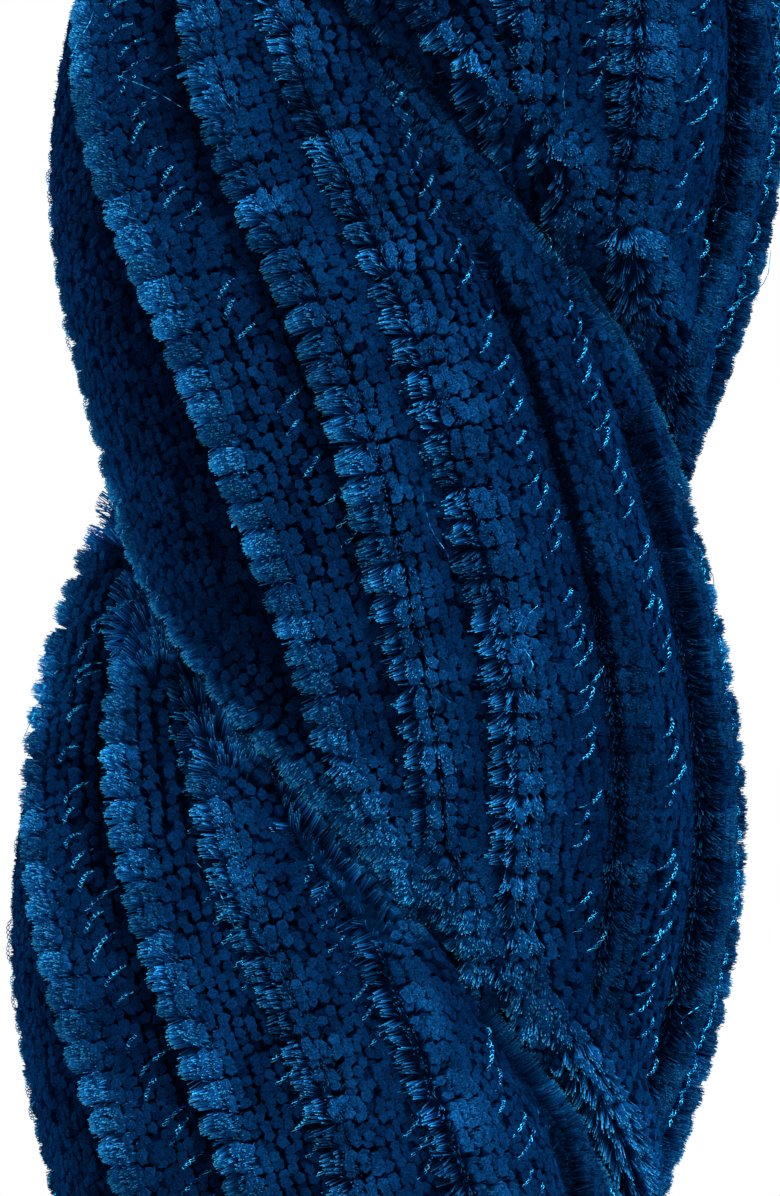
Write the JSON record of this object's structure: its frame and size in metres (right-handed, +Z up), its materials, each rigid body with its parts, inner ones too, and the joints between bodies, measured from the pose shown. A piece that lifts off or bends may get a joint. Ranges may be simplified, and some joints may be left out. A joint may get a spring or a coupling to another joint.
{
  "type": "velvet barrier rope",
  "caption": "Thick twisted velvet barrier rope hanging in a deep loop between brass bell caps with swivelling spring-gate hooks.",
  "frame": {"origin": "the flat seat inside hook A's crown, where a post's ring carries it", "axes": "+Z up along hook A's swivel, +X from hook A to hook B, +Y through the rope's thickness away from the viewer"},
  "size_m": [0.1952, 0.0448, 0.5757],
  "materials": {
    "velvet": "cut-pile velvet",
    "cotton_filler": "soft spun cotton",
    "twine": "waxed twine",
    "hook_brass": "polished",
    "cap_brass": "polished",
    "screw_brass": "satin",
    "steel": "satin",
    "beech": "turned, unvarnished"
  },
  "bodies": {
    "rope": {"strand_1_sleeve": "velvet", "strand_2_sleeve": "velvet", "strand_1_core": "cotton_filler", "strand_2_core": "cotton_filler", "end_cap_a": "cap_brass", "end_plug_a": "beech", "whipping_a": "twine", "cap_screw_a1": "screw_brass", "cap_screw_a2": "screw_brass", "cap_screw_a3": "screw_brass", "end_cap_b": "cap_brass", "end_plug_b": "beech", "whipping_b": "twine", "cap_screw_b1": "screw_brass", "cap_screw_b2": "screw_brass", "cap_screw_b3": "screw_brass", "thrust_washer_a": "hook_brass", "thrust_washer_b": "hook_brass"},
    "hook_a": {"hook_body_a": "hook_brass", "gate_pin_a": "steel", "gate_spring_a": "steel", "stop_washer_a": "steel", "stop_nut_a": "steel"},
    "hook_b": {"hook_body_b": "hook_brass", "gate_pin_b": "steel", "gate_spring_b": "steel", "stop_washer_b": "steel", "stop_nut_b": "steel"},
    "gate_a": {"gate_lever_a": "hook_brass"},
    "gate_b": {"gate_lever_b": "hook_brass"}
  },
  "joints": [
    {"name": "swivel_a", "type": "hinge", "parent": "rope", "child": "hook_a", "pos_m": [0, 0, -0.0434], "axis": [0, 0, 1], "continuous": true},
    {"name": "swivel_b", "type": "hinge", "parent": "rope", "child": "hook_b", "pos_m": [0.152, 0, -0.0434], "axis": [0, 0, 1], "continuous": true},
    {"name": "gate_a_open", "type": "hinge", "parent": "hook_a", "child": "gate_a", "pos_m": [-0.0096, 0, -0.031], "axis": [0, 1, 0], "range_deg": [0, 28], "stiffness_Nm_per_rad": 0.04, "springref_deg": -20.05},
    {"name": "gate_b_open", "type": "hinge", "parent": "hook_b", "child": "gate_b", "pos_m": [0.1616, 0, -0.031], "axis": [0, -1, 0], "range_deg": [0, 28], "stiffness_Nm_per_rad": 0.04, "springref_deg": -20.05}
  ]
}
